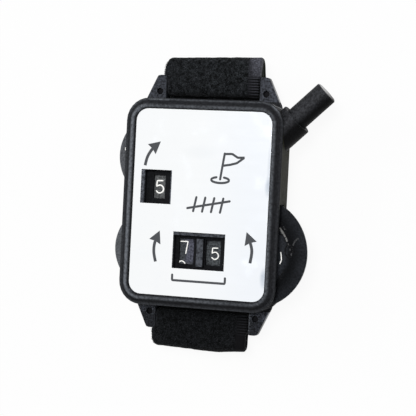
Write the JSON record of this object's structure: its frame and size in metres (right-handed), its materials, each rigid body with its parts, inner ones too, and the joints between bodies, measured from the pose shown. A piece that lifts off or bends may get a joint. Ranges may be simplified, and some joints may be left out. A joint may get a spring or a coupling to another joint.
{
  "type": "stroke counter",
  "caption": "Flat stroke counter with thumb-turned number wheels under a windowed face plate, a corner push rod and a folded hook-and-loop strap.",
  "frame": {"origin": "on the table under the middle of the face plate, on the flat underside of the folded strap", "axes": "+X to the right of the face, +Y to the top of the face, +Z out of the face"},
  "size_m": [0.0565, 0.0771, 0.0173],
  "materials": {
    "case_plastic": "fine satin moulded",
    "dark_plastic": "satin",
    "mirror_sheet": "bright, nearly mirror",
    "steel": "bright drawn",
    "rivet_brass": "plain",
    "strap_tape": "black loop pile with woven edges"
  },
  "bodies": {
    "case": {"front_case": "case_plastic", "face_plate": "mirror_sheet", "back_cover": "case_plastic", "plunger_sleeve": "dark_plastic", "hole_axle": "steel", "tens_axle": "steel", "units_axle": "steel", "hole_click_spring": "steel", "tens_click_spring": "steel", "units_click_spring": "steel", "return_spring": "steel", "case_screw_1": "steel", "case_screw_2": "steel", "case_screw_3": "steel", "case_screw_4": "steel", "strap_bar_top": "steel", "strap_bar_bottom": "steel", "strap_band": "strap_tape", "hook_patch": "strap_tape"},
    "hole_counter": {"hole_wheel": "dark_plastic", "hole_ratchet": "dark_plastic"},
    "tens_counter": {"tens_wheel": "dark_plastic", "tens_ratchet": "dark_plastic"},
    "units_counter": {"units_wheel": "dark_plastic", "units_ratchet": "dark_plastic", "units_carry_cam": "dark_plastic"},
    "push_rod": {"plunger": "dark_plastic", "pusher_plate": "steel", "hole_pawl": "steel", "tens_pawl": "steel", "units_pawl": "steel", "hole_pawl_rivet": "rivet_brass", "tens_pawl_rivet": "rivet_brass", "units_pawl_rivet": "rivet_brass", "carry_follower_pin": "steel"}
  },
  "joints": [
    {"name": "rod_press", "type": "slide", "parent": "case", "child": "push_rod", "axis": [-0.7254, -0.6884, 0], "range_m": [0, 0.005], "stiffness_N_per_m": 200, "springref_m": -0.003, "deforming": ["return_spring"]},
    {"name": "hole_turn", "type": "hinge", "parent": "case", "child": "hole_counter", "pos_m": [-0.012, 0.0118, 0.0123], "axis": [0, 0, -1], "continuous": true},
    {"name": "tens_turn", "type": "hinge", "parent": "case", "child": "tens_counter", "pos_m": [-0.01285, -0.0124, 0.0123], "axis": [0, 0, -1], "continuous": true},
    {"name": "units_turn", "type": "hinge", "parent": "case", "child": "units_counter", "pos_m": [0.0135, -0.01175, 0.0123], "axis": [0, 0, 1], "continuous": true}
  ]
}
